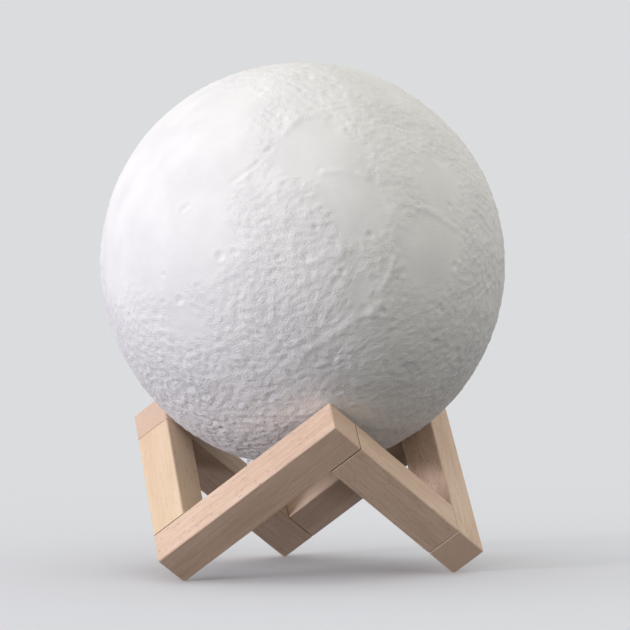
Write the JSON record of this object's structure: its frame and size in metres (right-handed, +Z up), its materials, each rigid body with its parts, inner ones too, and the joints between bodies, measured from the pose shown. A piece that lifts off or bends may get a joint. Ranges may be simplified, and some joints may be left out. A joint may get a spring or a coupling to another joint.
{
  "type": "moon lamp",
  "caption": "Cratered white globe lamp resting on the corners of a zigzag ring of square beech bars, with a light module screwed in underneath.",
  "frame": {"origin": "on the table, straight under the centre of the globe, level with the flats on the three feet", "axes": "+Z up through the globe, -Y towards the front apex of the stand, +X to the right"},
  "size_m": [0.15, 0.15, 0.1885],
  "materials": {
    "beech": "bare sanded beech, fine brown flecks along the grain",
    "beech_dowel": "turned beech pins",
    "globe_white": "printed plastic with a cratered relief, matte",
    "ring_white": "moulded plastic, satin",
    "seal_foam": "closed-cell foam",
    "cap_white": "moulded plastic, satin",
    "touch_brass": "turned and polished",
    "contact_brass": "plated pin",
    "socket_steel": "folded and plated shell",
    "insulator_black": "moulded",
    "lens_clear": "clear moulded light pipe",
    "lamp_red": "small indicator lamp",
    "board_green": "glass-fibre board with solder mask",
    "board_white": "glass-fibre board with white solder mask",
    "chip_black": "moulded chip package",
    "coil_grey": "pressed ferrite",
    "capacitor_tan": "fired ceramic block",
    "screw_steel": "zinc-plated steel",
    "housing_white": "moulded plastic, satin",
    "cell_sleeve": "shrink sleeve",
    "pad_foam": "closed-cell foam",
    "lead_red": "insulated wire",
    "lead_black": "insulated wire",
    "lead_white": "insulated wire",
    "plate_aluminium": "stamped sheet",
    "light_chip_yellow": "phosphor under clear resin",
    "dome_frosted": "frosted moulded plastic"
  },
  "bodies": {
    "stand": {"long_bar_front": "beech", "long_bar_right": "beech", "long_bar_rear": "beech", "short_bar_front": "beech", "short_bar_rear": "beech", "short_bar_left": "beech", "dowel_pins": "beech_dowel"},
    "globe": {"globe_shell": "globe_white", "neck_ring": "ring_white"},
    "seal": {"light_seal": "seal_foam"},
    "module": {"base_cap": "cap_white", "touch_ring": "touch_brass", "touch_contact": "contact_brass", "indicator_lens": "lens_clear", "indicator_lamp": "lamp_red", "charge_socket": "socket_steel", "socket_insulator": "insulator_black", "control_board": "board_green", "control_chip": "chip_black", "charge_coil": "coil_grey", "board_capacitors": "capacitor_tan", "board_screws": "screw_steel", "module_housing": "housing_white", "battery_cell": "cell_sleeve", "cell_pads": "pad_foam", "cell_lead_plus": "lead_red", "cell_lead_minus": "lead_black", "light_leads": "lead_white", "heat_plate": "plate_aluminium", "light_board": "board_white", "light_chips": "light_chip_yellow", "light_screws": "screw_steel", "diffuser_dome": "dome_frosted"}
  },
  "joints": [
    {"name": "globe_lift", "type": "slide", "parent": "stand", "child": "globe", "axis": [0, 0, 1], "range_m": [0, 0.06]},
    {"name": "module_advance", "type": "slide", "parent": "globe", "child": "seal", "axis": [0, 0, -1], "range_m": [0, 0.0075]},
    {"name": "module_unscrew", "type": "hinge", "parent": "seal", "child": "module", "pos_m": [0, 0, 0.03856], "axis": [0, 0, -1], "range_deg": [0, 900]}
  ],
  "couplings": [
    {"joint": "module_advance", "follows": "module_unscrew", "m_per_rad": 0.00047746}
  ]
}
